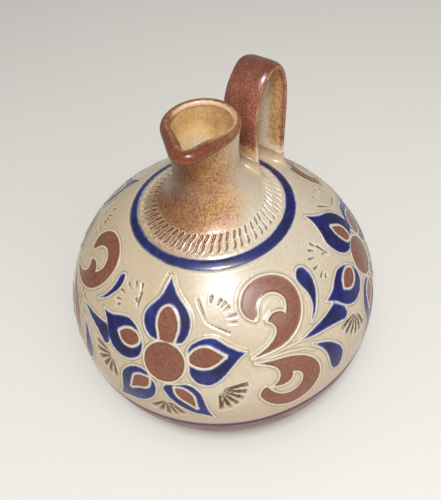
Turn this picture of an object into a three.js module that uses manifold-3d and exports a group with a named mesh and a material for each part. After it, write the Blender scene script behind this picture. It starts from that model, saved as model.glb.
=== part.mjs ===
// Salt-glazed stoneware jug: a squat round body, a narrow neck with a pouring lip, and a strap handle.
// Millimetres, +Z up. The origin is the centre of the flat base, and the handle stands towards +X.
import * as THREE from "three";
import { mergeVertices } from "three/addons/utils/BufferGeometryUtils.js";
import Module from "manifold-3d";

// Body, thrown as two bowls that meet at the belly line
const bellyRadius = 90;
const bellyHeight = 65;
const lowerBulge = 2.08; // 2 is an ellipse, more is squarer
const domeRise = 75.6; // from the belly line to where the dome would close
const wallThickness = 5.5;

// Flat base
const footRadius = 50;
const footBevel = 1;
const baseThickness = 7;

// Neck collar, seated on the cut top of the dome
const collarRadius = 38; // where the dome turns up into the neck
const collarSeat = 11; // width of the flat seam under the collar
const flareHeight = 29;
const neckRadius = 17.5;
const neckWall = 3.4;

// Rim roll and pouring lip; the mouth's outline is measured to the outside of the roll
const rimHeight = 184.6; // middle of the roll, level all round
const rimRadius = 19.4;
const rollRadius = 2; // at the back of the mouth
const lipRoll = 3.6; // radius of the roll at the tip of the lip
const rimWall = 3.4; // width of the flat seam under the roll
const lipReach = 18.5; // from the jug's axis to the centre of the lip's curve
const lipRadius = 9.4;
const lipTurn = 199.5; // degrees round from the handle
const lipPull = 1.8; // 1 draws the neck out evenly, more draws it out near the top
const rollSwell = 2.4; // 1 swells the roll evenly from back to lip, more swells it near the lip

// Strap handle
const strapWidth = 23.6; // at the upper root
const strapEndWidth = 21.4; // from the crown down to the lower root
const strapTaper = 0.4; // share of the strap's length over which it narrows
const strapThickness = 6.2;
const strapEdge = 0.85; // 1 gives the section an elliptic edge, less gives it a blunter one
const handleStandOff = 10.1; // from the neck's skin to the middle of the strap at its upper root
const handleSpread = 23.5; // from root to root
const crownRise = 6; // middle of the strap above the middle of the rim roll
const lutingReach = 3; // how far the clay smoothed round each root spreads
const lutingFoot = 4.8; // the same where it runs out on the skin
const lutingHeight = 8;
const lutingGap = 0.3; // joint between the strap, its luting clay and the jug

// The strap's middle line: shares of the way from root to root, and from the neck's skin up to the crown
const strapRoute = [
  [0.06, 0.33],
  [0.13, 0.63],
  [0.36, 0.85],
  [0.78, 0.99],
  [1.1, 0.94],
  [1.25, 0.78],
  [1.26, 0.54],
  [1.17, 0.21],
];

// Fineness of the faceted surfaces
const turnSteps = 64;
const neckSteps = 56;
const lipCrowding = 0.5; // how much closer the neck's points stand at the lip
const footSteps = 12;
const bowlSteps = 9;
const domeSteps = 11;
const flareSteps = 8;
const pullSteps = 4;
const rollSteps = 10;
const strapSteps = 34;
const strapSides = 16;
const lutingSteps = 7;
const lutingSides = 20;

const wasm = await Module();
wasm.setup();

// How far below the belly line the lower curve would close, so that it passes through the foot
const lowerDrop = bellyHeight / (1 - (footRadius / bellyRadius) ** lowerBulge) ** (1 / lowerBulge);
const seamHeight = domeHeightAt(collarRadius);
const flareTop = seamHeight + flareHeight;

// Height of the dome's outer skin at a radius
function domeHeightAt(radius) {
  return bellyHeight + domeRise * Math.sqrt(1 - (radius / bellyRadius) ** 2);
}

// Points of the lower body from a height up to the belly line, on a skin that lies inset from the outside
function lowerSkin(inset, fromHeight, steps) {
  const points = [];
  for (let i = 0; i <= steps; i++) {
    const height = bellyHeight - (bellyHeight - fromHeight) * Math.cos((i / steps) * (Math.PI / 2));
    const drop = (bellyHeight - height) / (lowerDrop - inset);
    const radius = (bellyRadius - inset) * (1 - drop ** lowerBulge) ** (1 / lowerBulge);
    points.push(new THREE.Vector2(radius, height));
  }
  return points;
}

// Points of the dome from the belly line up to a radius, on a skin that lies inset from the outside
function domeSkin(inset, toRadius, steps) {
  const end = Math.acos(toRadius / (bellyRadius - inset));
  const points = [];
  for (let i = 0; i <= steps; i++) {
    const turn = (end * i) / steps;
    const radius = (bellyRadius - inset) * Math.cos(turn);
    points.push(new THREE.Vector2(radius, bellyHeight + (domeRise - inset) * Math.sin(turn)));
  }
  return points;
}

// The outer flare leaves the dome along its slope and ends upright at the neck
function outerFlare(steps) {
  const reach = collarRadius - neckRadius;
  const rise = collarRadius / bellyRadius / Math.sqrt(1 - (collarRadius / bellyRadius) ** 2);
  const slope = (domeRise / bellyRadius) * rise;
  return new THREE.QuadraticBezierCurve(
    new THREE.Vector2(collarRadius, seamHeight),
    new THREE.Vector2(neckRadius, seamHeight + slope * reach),
    new THREE.Vector2(neckRadius, flareTop),
  ).getPoints(steps);
}

// The inner flare starts at the inner edge of the seam
function innerFlare(steps) {
  const bore = neckRadius - neckWall;
  return new THREE.QuadraticBezierCurve(
    new THREE.Vector2(collarRadius - collarSeat, seamHeight),
    new THREE.Vector2(bore, seamHeight + wallThickness),
    new THREE.Vector2(bore, flareTop - wallThickness),
  ).getPoints(steps);
}

// Turns a closed outline of radius and height about the jug's axis
function turned(points) {
  return new THREE.LatheGeometry(points, turnSteps).rotateX(Math.PI / 2);
}

// Skins a row of rings that all have the same number of points; a wrapped row closes on itself.
// The split picks the diagonal of each patch, so that two pieces can share a seam that isn't level.
function loft(rings, wrap, split = "forward") {
  const count = rings[0].length;
  const index = [];
  const spans = wrap ? rings.length : rings.length - 1;
  for (let i = 0; i < spans; i++) {
    const low = i * count;
    const high = ((i + 1) % rings.length) * count;
    for (let j = 0; j < count; j++) {
      const next = (j + 1) % count;
      if (split === "forward") {
        index.push(low + j, low + next, high + next, low + j, high + next, high + j);
      } else {
        index.push(low + j, low + next, high + j, low + next, high + next, high + j);
      }
    }
  }
  if (!wrap) {
    const top = (rings.length - 1) * count;
    for (let j = 1; j < count - 1; j++) {
      index.push(0, j + 1, j, top, top + j, top + j + 1);
    }
  }
  const positions = rings.flat().flatMap((point) => point.toArray());
  const geometry = new THREE.BufferGeometry();
  geometry.setAttribute("position", new THREE.Float32BufferAttribute(positions, 3));
  geometry.setIndex(index);
  return geometry;
}

// A closed mesh as a solid that can be cut
function solidOf(geometry) {
  const bare = geometry.clone();
  bare.deleteAttribute("normal");
  bare.deleteAttribute("uv");
  const merged = mergeVertices(bare, 1e-4);
  return new wasm.Manifold(
    new wasm.Mesh({
      numProp: 3,
      vertProperties: new Float32Array(merged.attributes.position.array),
      triVerts: new Uint32Array(merged.index.array),
    }),
  );
}

function geometryOf(solid) {
  const mesh = solid.getMesh();
  const geometry = new THREE.BufferGeometry();
  geometry.setAttribute("position", new THREE.BufferAttribute(mesh.vertProperties, 3));
  geometry.setIndex(new THREE.BufferAttribute(mesh.triVerts, 1));
  return geometry;
}

// The base is a disc whose edge starts the curve of the body
function baseDisc() {
  const edge = lowerSkin(0, footBevel, footSteps).filter((point) => point.y < baseThickness);
  const rim = lowerSkin(0, baseThickness, 1)[0];
  const foot = new THREE.Vector2(footRadius - footBevel, 0);
  const middle = [new THREE.Vector2(0, baseThickness), new THREE.Vector2(0, 0)];
  return turned([middle[1], foot, ...edge, rim, middle[0]]);
}

function lowerBowl() {
  const outer = lowerSkin(0, baseThickness, bowlSteps);
  const inner = lowerSkin(wallThickness, baseThickness, bowlSteps).reverse();
  return turned([...outer, ...inner, outer[0]]);
}

// The dome is cut level at the seam, and its mouth is as wide as the inside of the collar
function shoulderDome() {
  const mouth = collarRadius - collarSeat;
  const outer = domeSkin(0, collarRadius, domeSteps);
  const inner = domeSkin(wallThickness, mouth, domeSteps).reverse();
  return turned([...outer, new THREE.Vector2(mouth, seamHeight), ...inner, outer[0]]);
}

// Distance from the axis to the outline of a circle and a smaller lip circle joined by straight sides
function outlineRadius(angle, radius, lip, reach) {
  const away = Math.abs(angle);
  if (reach <= radius - lip) {
    return radius;
  }
  const sideTurn = Math.acos((radius - lip) / reach);
  if (away >= sideTurn) {
    return radius;
  }
  const tipTurn = Math.atan2(lip * Math.sin(sideTurn), reach + lip * Math.cos(sideTurn));
  if (away > tipTurn) {
    return radius / Math.cos(sideTurn - away);
  }
  return reach * Math.cos(away) + Math.sqrt(lip ** 2 - (reach * Math.sin(away)) ** 2);
}

// Radius of the roll at an angle from the lip
function rollAt(angle) {
  const nearness = ((1 + Math.cos(angle)) / 2) ** rollSwell;
  return THREE.MathUtils.lerp(rollRadius, lipRoll, nearness);
}

// Height of the neck's top edge under the roll
function neckTopAt(angle) {
  return rimHeight - Math.sqrt(rollAt(angle) ** 2 - (rimWall / 2) ** 2);
}

// One ring round the neck or mouth; shapeAt gives its outline and height at an angle from the lip
function neckRing(shapeAt) {
  const ring = [];
  for (let i = 0; i < neckSteps; i++) {
    const turn = (i / neckSteps) * 2 * Math.PI - Math.PI;
    const angle = turn - lipCrowding * Math.sin(turn);
    const { radius, lip, reach, height } = shapeAt(angle);
    const out = outlineRadius(angle, radius, lip, reach);
    const world = angle + THREE.MathUtils.degToRad(lipTurn);
    ring.push(new THREE.Vector3(out * Math.cos(world), out * Math.sin(world), height));
  }
  return ring;
}

function roundRing(point) {
  return neckRing(() => ({ radius: point.x, lip: 0, reach: 0, height: point.y }));
}

// A ring of the neck above the flare, on the outside (side 1) or the inside (side -1) of its wall
function pulledRing(pull, side) {
  const draw = pull ** lipPull;
  const half = THREE.MathUtils.lerp(neckWall, rimWall, pull) / 2;
  return neckRing((angle) => {
    const roll = rollAt(angle);
    const radius = THREE.MathUtils.lerp(neckRadius - neckWall / 2, rimRadius - roll, draw);
    const lip = Math.min(lipRadius - roll, radius);
    return {
      radius: radius + side * half,
      lip: lip + side * half,
      reach: THREE.MathUtils.lerp(radius - lip, lipReach, draw),
      height: THREE.MathUtils.lerp(side > 0 ? flareTop : flareTop - wallThickness, neckTopAt(angle), pull),
    };
  });
}

// The collar flares up from the seam, and its top is pulled out on one side for the lip
function neckCollar() {
  const pulls = Array.from({ length: pullSteps }, (_, i) => (i + 1) / pullSteps);
  const outer = outerFlare(flareSteps).map(roundRing);
  const inner = innerFlare(flareSteps).map(roundRing);
  const up = pulls.map((pull) => pulledRing(pull, 1));
  const down = pulls.map((pull) => pulledRing(pull, -1)).reverse();
  return loft([...outer, ...up, ...down, ...inner.reverse()], true);
}

// The roll is a round bead with a flat underside on the neck's edge, bent round the mouth and the lip
function rimRoll() {
  const rings = [];
  for (let i = 0; i <= rollSteps; i++) {
    rings.push(
      neckRing((angle) => {
        const roll = rollAt(angle);
        const flat = Math.acos(rimWall / 2 / roll);
        const turn = -flat + ((Math.PI + 2 * flat) * i) / rollSteps;
        const offset = roll * Math.cos(turn) - roll;
        const height = rimHeight + roll * Math.sin(turn);
        return { radius: rimRadius + offset, lip: lipRadius + offset, reach: lipReach, height };
      }),
    );
  }
  return loft(rings, true, "backward");
}

// Height of the jug's outer skin above a radius, on the dome or on the flare
function skinHeightAt(radius) {
  if (radius >= collarRadius) {
    return domeHeightAt(radius);
  }
  const flare = outerFlare(5 * flareSteps);
  const above = flare.findIndex((point) => point.x <= radius);
  return flare[above < 0 ? flare.length - 1 : above].y;
}

const upperRoot = neckRadius + handleStandOff;
const lowerRoot = upperRoot + handleSpread;
const crownHeight = rimHeight + crownRise;

// The middle line of the strap, from under the skin at the neck, over the crown and down to the shoulder
function strapPath() {
  const low = skinHeightAt(upperRoot);
  const along = (out) => upperRoot + out * handleSpread;
  const up = (rise) => THREE.MathUtils.lerp(low, crownHeight, rise);
  const middle = strapRoute.map(([out, rise]) => new THREE.Vector3(along(out), 0, up(rise)));
  return new THREE.CatmullRomCurve3([
    new THREE.Vector3(upperRoot, 0, low - wallThickness),
    ...middle,
    new THREE.Vector3(lowerRoot, 0, skinHeightAt(lowerRoot) - wallThickness),
  ]);
}

function strapWidthAt(share) {
  return THREE.MathUtils.lerp(strapWidth, strapEndWidth, Math.min(share / strapTaper, 1));
}

// The strap's section: a lens with rounded edges, wide across Y and thin across its path, grown by a margin
function strapSection(width, margin, points) {
  const section = [];
  for (let i = 0; i < points; i++) {
    const turn = (i / points) * 2 * Math.PI;
    const thin = Math.cos(turn);
    const wide = Math.sign(Math.sin(turn)) * Math.abs(Math.sin(turn)) ** strapEdge;
    section.push([(strapThickness / 2 + margin) * thin, (width / 2 + margin) * wide]);
  }
  return section;
}

function strapSolid(margin) {
  const path = strapPath();
  const rings = [];
  for (let i = 0; i <= strapSteps; i++) {
    const centre = path.getPointAt(i / strapSteps);
    const along = path.getTangentAt(i / strapSteps);
    const across = new THREE.Vector3(along.z, 0, -along.x);
    const ring = strapSection(strapWidthAt(i / strapSteps), margin, strapSides).map(([thin, wide]) =>
      centre.clone().addScaledVector(across, thin).add(new THREE.Vector3(0, wide, 0)),
    );
    rings.push(ring);
  }
  return solidOf(loft(rings, false));
}

// Everything inside the jug's outer skin, grown by the luting gap
function jugSpace() {
  const dome = domeSkin(0, collarRadius, 2 * domeSteps);
  const skin = [...lowerSkin(0, 0, footSteps), ...dome.slice(1), ...outerFlare(2 * flareSteps).slice(1)];
  const grown = skin.map((point, i) => {
    const before = skin[Math.max(i - 1, 0)];
    const after = skin[Math.min(i + 1, skin.length - 1)];
    const out = new THREE.Vector2(after.y - before.y, before.x - after.x).normalize();
    return point.clone().addScaledVector(out, lutingGap);
  });
  const top = new THREE.Vector2(neckRadius + lutingGap, rimHeight);
  return solidOf(turned([new THREE.Vector2(0, 0), ...grown, top, new THREE.Vector2(0, rimHeight)]));
}

// Clay smoothed round one root: rings level with the skin, which shrink onto the strap as they rise
function lutingSolid(root, width, strap, space) {
  const step = 1;
  const climb = skinHeightAt(root + step) - skinHeightAt(root - step);
  const tilt = new THREE.Vector3(2 * step, 0, climb).normalize();
  const foot = new THREE.Vector3(root, 0, skinHeightAt(root));
  const stretch = 1 / tilt.x;
  const rings = [];
  for (let i = 0; i <= lutingSteps; i++) {
    const rise = (i / lutingSteps) * (lutingHeight + wallThickness) - wallThickness;
    const spread = Math.min(lutingReach * (1 - rise / lutingHeight) ** 2, lutingFoot);
    const ring = strapSection(width, spread + 2 * lutingGap, lutingSides).map(([thin, wide]) =>
      foot
        .clone()
        .addScaledVector(tilt, thin * stretch)
        .add(new THREE.Vector3(0, wide, rise)),
    );
    rings.push(ring);
  }
  return solidOf(loft(rings, false)).subtract(strap).subtract(space);
}

const space = jugSpace();
const grownStrap = strapSolid(lutingGap);
const strap = geometryOf(strapSolid(0).subtract(space));
const upperLuting = geometryOf(lutingSolid(upperRoot, strapWidth, grownStrap, space));
const lowerLuting = geometryOf(lutingSolid(lowerRoot, strapEndWidth, grownStrap, space));

const glaze = {
  brown: { color: 0x6b4038, roughness: 0.3, metalness: 0 },
  grey: { color: 0xcdbb9e, roughness: 0.32, metalness: 0 },
  tan: { color: 0xa9784f, roughness: 0.35, metalness: 0 },
  rust: { color: 0x7d4736, roughness: 0.28, metalness: 0 },
  bare: { color: 0x9c8672, roughness: 0.85, metalness: 0 },
};

function piece(name, geometry, finish) {
  const mesh = new THREE.Mesh(geometry, new THREE.MeshStandardMaterial(finish));
  mesh.name = name;
  return mesh;
}

const jug = new THREE.Group();
jug.add(piece("base_disc", baseDisc(), glaze.bare));
jug.add(piece("lower_bowl", lowerBowl(), glaze.brown));
jug.add(piece("shoulder_dome", shoulderDome(), glaze.grey));
jug.add(piece("neck_collar", neckCollar(), glaze.tan));
jug.add(piece("rim_roll", rimRoll(), glaze.rust));
jug.add(piece("handle_strap", strap, glaze.rust));
jug.add(piece("upper_root_luting", upperLuting, glaze.tan));
jug.add(piece("lower_root_luting", lowerLuting, glaze.grey));

export default jug;
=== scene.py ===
import math
import bpy
import numpy as np
from mathutils import Matrix, Vector


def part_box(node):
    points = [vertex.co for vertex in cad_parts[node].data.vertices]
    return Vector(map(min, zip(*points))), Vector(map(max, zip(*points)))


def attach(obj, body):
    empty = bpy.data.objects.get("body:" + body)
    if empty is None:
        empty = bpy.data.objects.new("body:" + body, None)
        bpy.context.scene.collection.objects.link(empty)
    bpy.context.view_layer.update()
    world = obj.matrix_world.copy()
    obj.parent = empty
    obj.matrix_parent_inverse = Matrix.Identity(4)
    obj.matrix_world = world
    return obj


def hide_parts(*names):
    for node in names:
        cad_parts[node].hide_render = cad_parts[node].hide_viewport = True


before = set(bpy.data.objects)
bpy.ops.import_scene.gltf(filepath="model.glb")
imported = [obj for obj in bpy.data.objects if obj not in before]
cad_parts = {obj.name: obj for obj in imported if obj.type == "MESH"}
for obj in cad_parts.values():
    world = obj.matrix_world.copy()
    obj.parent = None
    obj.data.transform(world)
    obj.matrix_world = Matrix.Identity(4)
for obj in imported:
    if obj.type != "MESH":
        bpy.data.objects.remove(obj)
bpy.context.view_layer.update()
print("frame loaded,", len(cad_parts), "nodes")

mm = 0.001
rng = np.random.default_rng(7)
farAway = 6.0      # distance stored where no field of the ornament is nearer, in millimetres
offSkin = -200.0   # arc length stored for points that aren't on the outer skin


# Sizes of the thrown body in millimetres. The overall ones are read off the frame.
def boxOf(node):
    return [np.array(corner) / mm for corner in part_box(node)]


domeLow, domeHigh = boxOf("shoulder_dome")
body = {
    "bellyRadius": domeHigh[0],
    "bellyHeight": domeLow[2],
    "seamHeight": domeHigh[2],
    "footRadius": 50,
    "lowerBulge": 2.08,    # 2 is an ellipse, more is squarer
    "wall": 5.5,
    "baseThickness": boxOf("base_disc")[1][2],
    "footRounding": 1.0,
    "collarRadius": 38,
    "collarSeat": 11,
    "flareHeight": 29,
    "neckRadius": 17.5,
    "neckWall": 3.4,
    "skinInset": 0.55,     # keeps the raised outlines inside the solid's box
}
flareTop = body["seamHeight"] + body["flareHeight"]
seatRadius = body["collarRadius"] - body["collarSeat"]
mouth = {
    "rimHeight": 184.6,
    "rimRadius": 19.4,     # to the outside of the roll
    "backRoll": 2.0,
    "lipRoll": 3.6,
    "rollSwell": 2.4,
    "rimWall": 3.4,
    "lipReach": 18.5,
    "lipRadius": 9.4,
    "lipTurn": 199.5,
    "lipPull": 1.8,
    "pullHeight": 22,
    "crowding": 0.35,      # how much closer the points stand at the lip
}
fineness = {
    "profileSteps": (240, 320, 160),
    "profileRow": 0.25,
    "bodyColumns": 752,
    "bodyRow": 0.8,
    "plainRow": 2.2,       # below plainArc, where there is no ornament
    "plainArc": -14.0,
    "innerRow": 7.0,
    "innerRows": 14,
    "baseColumns": 240,
    "baseRow": 1.0,
    "neckColumns": 880,
    "notchRow": 0.55,
    "neckRow": 1.0,
    "boreRows": 12,
    "rollSteps": 30,
    "strapCurve": 40,
    "strapSteps": 230,
    "strapSides": 112,
    "lutingSides": 150,
    "lutingSteps": 16,
}


def smooth(low, high, value):
    share = np.clip((value - low) / (high - low), 0, 1)
    return share * share * (3 - 2 * share)


def mix(a, b, share):
    return a + (b - a) * share


# 1 on a line and 0 from half its width outwards
def bump(distance, width):
    return np.clip(1 - (2 * distance / width) ** 2, 0, 1) ** 1.5


def towards(azimuth, degrees):
    return np.cos(azimuth - math.radians(degrees))


# A flare between two points given as radius and height, upright at its narrow end
def flareCurve(share, wide, narrow, control):
    rest = (1 - share) ** 2
    radius = rest * wide[0] + (1 - rest) * narrow[0]
    return radius, rest * wide[1] + 2 * share * (1 - share) * control + share ** 2 * narrow[1]


# Outer skin of the body as radius and height against the arc length above the belly line
def bodyProfile():
    radius, height, seam = body["bellyRadius"], body["bellyHeight"], body["seamHeight"]
    bulge, collar, neck = body["lowerBulge"], body["collarRadius"], body["neckRadius"]
    bowlSteps, domeSteps, flareSteps = fineness["profileSteps"]
    drop = height / (1 - (body["footRadius"] / radius) ** bulge) ** (1 / bulge)
    lowHeight = height * (1 - np.cos(np.linspace(0, np.pi / 2, bowlSteps)))
    lowRadius = radius * (1 - ((height - lowHeight) / drop) ** bulge) ** (1 / bulge)
    side = math.sqrt(1 - (collar / radius) ** 2)
    rise = (seam - height) / side
    turn = np.linspace(0, math.acos(collar / radius), domeSteps)
    slope = rise / radius * (collar / radius) / side
    flareRadius, flareHeight = flareCurve(np.linspace(0, 1, flareSteps), (collar, seam), (neck, flareTop),
                                          seam + slope * (collar - neck))
    radii = np.concatenate([lowRadius, radius * np.cos(turn)[1:], flareRadius[1:]])
    heights = np.concatenate([lowHeight, (height + rise * np.sin(turn))[1:], flareHeight[1:]])
    arcs = np.concatenate([[0], np.cumsum(np.hypot(np.diff(radii), np.diff(heights)))])
    arcs -= np.interp(height, heights, arcs)
    even = np.arange(arcs[0], arcs[-1], fineness["profileRow"])
    return even, np.interp(even, arcs, radii), np.interp(even, arcs, heights), rise, drop


profileArc, profileRadius, profileHeight, domeRise, lowerDrop = bodyProfile()
upperHalf = profileArc > 0


def radiusAt(arc):
    return np.interp(arc, profileArc, profileRadius)


def heightAt(arc):
    return np.interp(arc, profileArc, profileHeight)


def arcAt(height):
    return float(np.interp(height, profileHeight, profileArc))


# Reads a column of the profile above the belly line by its radius
def overRadius(radius, column):
    return np.interp(radius, profileRadius[upperHalf][::-1], column[upperHalf][::-1])


arcOfCollar, arcOfFlareTop = arcAt(body["seamHeight"]), profileArc[-1]


# Normal of the skin as its radial and upward parts
def leanAt(arc):
    step = 0.6
    arc = np.clip(arc, profileArc[0] + step, arcOfFlareTop - step)
    out = heightAt(arc + step) - heightAt(arc - step)
    up = radiusAt(arc - step) - radiusAt(arc + step)
    size = np.hypot(out, up)
    return out / size, up / size


def skinPoints(azimuth, arc, lift=0.0):
    out, up = leanAt(arc)
    radius = radiusAt(arc) + out * (lift - body["skinInset"])
    height = heightAt(arc) + up * (lift - body["skinInset"])
    return np.stack([radius * np.cos(azimuth), radius * np.sin(azimuth), height], -1)


def skinNormals(azimuth, arc):
    out, up = leanAt(arc)
    return np.stack([out * np.cos(azimuth), out * np.sin(azimuth), up + 0 * azimuth], -1)


# Inner wall of the bowl and of the dome
def innerLower(height):
    drop = (body["bellyHeight"] - height) / (lowerDrop - body["wall"])
    bulge = body["lowerBulge"]
    return (body["bellyRadius"] - body["wall"]) * (1 - drop ** bulge) ** (1 / bulge)


def innerUpper(radius):
    side = np.sqrt(1 - (radius / (body["bellyRadius"] - body["wall"])) ** 2)
    return body["bellyHeight"] + (domeRise - body["wall"]) * side


# The incised ornament. Points are millimetres on the skin, across and up from each motif's middle,
# and a point given twice is a corner.
flower = {
    "height": 36.2,
    "reach": 45,
    "disc": (-0.9, -0.9, 10.9),
    "petals": [
        [(-5, 10.6), (-5, 10.6), (-9.5, 11.2), (-13, 14.5), (-14.5, 19.5), (-12.8, 24.5), (-9.4, 28.8),
         (-7, 32.5), (-5.8, 37), (-4.2, 42.3), (-4.2, 42.3), (-1.8, 38), (1.2, 34), (5.2, 30), (8.6, 25.6),
         (10.2, 20.5), (9.6, 15.2), (7.4, 11.6), (3.8, 10.8), (3.8, 10.8)],
        [(12.8, -1.2), (12.8, -1.2), (13.2, -4.6), (16, -8.6), (20.6, -10.6), (25.5, -9.8), (30, -6),
         (33.6, -1.4), (36.4, 2.4), (39.4, 5.2), (39.4, 5.2), (34, 7.9), (29, 10.8), (25, 13.4),
         (20.8, 14.6), (16.2, 13.6), (12.4, 10.8), (11, 8), (11.4, 5.4), (11.4, 5.4)],
        [(8, -12.3), (8, -12.3), (11.6, -11.6), (15.6, -13.2), (18.8, -17), (20.6, -22), (21.8, -27),
         (23, -31), (25, -35.4), (25, -35.4), (20.4, -33.2), (14.5, -31.5), (9, -28.4), (4, -24),
         (0.6, -19.6), (-0.9, -16.2), (1, -13.8), (1, -13.8)],
        [(-10.2, -9.8), (-10.2, -9.8), (-13.4, -8.6), (-18, -9.2), (-22.6, -12.4), (-25.8, -17.2),
         (-26.7, -23), (-27.2, -30), (-30.4, -37.4), (-30.4, -37.4), (-24, -35), (-17, -33), (-11, -29.4),
         (-7, -24.6), (-5.3, -19.4), (-5.9, -15.4), (-8, -13.2), (-8, -13.2)],
        [(-13.8, 4.6), (-15.2, 9), (-18.8, 12.8), (-23.6, 14.6), (-29, 13.4), (-35, 10.8), (-42, 9.4),
         (-42, 9.4), (-38.8, 5.6), (-37, 1), (-34.2, -3.4), (-29, -6.3), (-23, -6.4), (-18, -4.2),
         (-14.6, -0.6)],
    ],
    "eyes": [
        [(-4, 10.8), (-4, 10.8), (-5.2, 14.4), (-6.4, 18.6), (-6.3, 23), (-4.6, 26.5), (-2, 28.1),
         (0.8, 26.2), (3.2, 22.2), (4.1, 18), (3.6, 14), (2.8, 10.8), (2.8, 10.8)],
        [(11.8, 4.8), (11.8, 4.8), (14, 7.8), (17, 9.6), (20.6, 9.7), (24.2, 8), (29.4, 4.8), (29.4, 4.8),
         (26.4, 1.9), (22.6, -0.3), (18.6, -0.6), (15, 0.4), (12.6, 1.8), (12.6, 1.8)],
        [(5.6, -14.8), (5.6, -14.8), (9.2, -14.6), (12.6, -16.4), (15, -19.6), (16.2, -27), (16.2, -27),
         (11.8, -23.6), (8.2, -21), (6, -18)],
        [(-9.2, -13), (-9.2, -13), (-13.6, -12.9), (-17.4, -14.8), (-19, -18.6), (-20.2, -24.2),
         (-20.2, -24.2), (-15.6, -21.4), (-11.6, -20), (-9.4, -17.2)],
        [(-28.6, 5.4), (-28.6, 5.4), (-25, 8.5), (-21, 9.8), (-17.5, 9), (-16, 6.6), (-17.2, 4),
         (-20.6, 1.8), (-24.6, 1.5), (-27.4, 3.2)],
    ],
    "wideTop": [(-5, 10.5), (-5, 10.5), (-9.5, 13), (-12, 17), (-12.5, 21.5), (-11.5, 26.5), (-8, 30.5),
                (-5, 34), (-2.5, 37.5), (-1, 41.5), (-1, 41.5), (1.5, 37), (4.5, 33), (8.5, 29),
                (12, 24), (14, 18), (14, 13), (11.5, 10), (7.5, 10), (7.5, 10)],
    "wideEye": [(1, 25), (1, 25), (3.5, 22), (5.5, 18.5), (5.5, 14.5), (4, 11.5), (1, 12), (-1, 14),
                (-1.5, 18), (-1, 22)],
}
scroll = {
    "height": 38.0,
    "reach": 40,
    "curls": [
        [(-27, -0.3), (-27, -0.3), (-19, 0.4), (-11, 1.4), (-5, 3.5), (0.5, 7), (4.5, 11.5), (7, 16.5),
         (7.8, 22), (6.8, 28), (3.5, 33), (-1, 36), (-6, 37), (-11, 36.2), (-16, 33.5), (-20, 29),
         (-22, 24.5), (-21.3, 20.5), (-18.6, 18.2), (-16.6, 20), (-15, 23.3), (-12, 26.6), (-8, 28.5),
         (-4, 28), (-1, 25.5), (0.2, 22), (-0.8, 18.5), (-3, 15), (-3, 15), (-4.5, 17.3), (-7.5, 18.3),
         (-10.5, 17.5), (-13, 15.6), (-13, 15.6), (-11, 13.5), (-10.5, 10.5), (-12.5, 7.2), (-16.5, 4.2),
         (-21.5, 1.8)],
        [(-26.5, -3.8), (-26.5, -3.8), (-19, -4.8), (-12, -5.6), (-6, -7.6), (-1, -11), (2.7, -15.5),
         (4.4, -21), (3.8, -27), (0.5, -32), (-4.5, -36), (-11, -38), (-17.5, -37.4), (-23.5, -34),
         (-28, -29), (-30, -24), (-28.5, -20.5), (-25.8, -19.2), (-24, -22.5), (-21, -26), (-16.5, -28.4),
         (-11.5, -28), (-7.5, -25.2), (-5.8, -21), (-7, -17.5), (-10.8, -14.8), (-10.8, -14.8),
         (-11.2, -17.5), (-13.5, -20), (-17.5, -20.9), (-22, -19.8), (-22, -19.8), (-19, -17.5),
         (-17.2, -14), (-17.6, -10), (-20.5, -6.8)],
    ],
    "drops": [
        [(8.3, 4.8), (8.3, 4.8), (11.8, 9.2), (13.2, 13.5), (13, 18), (11.6, 22.5), (10.9, 26.5),
         (12.6, 29.6), (15.4, 29.9), (18, 27.2), (19.1, 22.6), (18.4, 17.4), (15.6, 12), (12, 7.6)],
        [(0, -1.3), (0, -1.3), (7, 0.2), (16, 1.4), (25, 3), (25, 3), (28.6, -0.6), (31.4, -4.8),
         (31.2, -8), (28.4, -8.9), (24, -7), (16, -4.5), (7, -2.8)],
        [(5, -7.4), (5, -7.4), (9, -12.6), (11, -17.5), (11.8, -23), (12.2, -28), (14, -31.8), (17, -33),
         (19.8, -30.6), (21.5, -25.6), (20.4, -20.6), (17, -15.6), (12.4, -11.2)],
    ],
    "leafDrop": [(11, 9.5), (11, 9.5), (13.5, 14), (14.5, 18.5), (14.5, 23), (13.5, 27.5), (14, 30),
                 (15.5, 29.5), (17, 27), (18, 23), (17, 18.5), (15, 14)],
    "stems": [
        [(-27, -2), (-14, -1), (0, -1.3)],
        [(-24, -2.6), (-10, -3.4), (-1, -6.2), (4, -10.6)],
    ],
}
# Stamped fans: rays round an apex that is placed from the middle of a flower. Turns are in degrees.
fans = [
    {"apex": (-19.5, 23.5), "turns": [205, 195, 175, 145, 115, 90, 85, 140],
     "near": [12.5, 12, 10, 8, 7, 7, -1.5, 1], "far": [15.5, 16, 13.5, 11.5, 10.5, 10.5, 6.5, 3],
     "width": 1.1, "slides": True},
    {"apex": (18, 22.5), "turns": [120, 90, 65, 50, 35, 10, -5, -25],
     "near": [0.5, 9.5, 9, 9, 9, 10, 11, 0.5], "far": [13, 13, 12, 12, 12, 14.5, 15, 14],
     "width": 1.1, "slides": False},
    {"apex": (0.5, -25), "turns": [226, 247, 268, 289, 310], "near": 2.5, "far": 13.5, "width": 2.7,
     "slides": False},
    {"apex": (28, -14), "turns": [6, -12, -30, -48, -66, -84], "near": 2.5, "far": 15, "width": 2.8,
     "slides": False},
    {"apex": (-33, -11), "turns": [176, 196, 216, 236, 256, 276], "near": 2.5, "far": 14.5, "width": 2.7,
     "slides": False},
]
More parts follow.
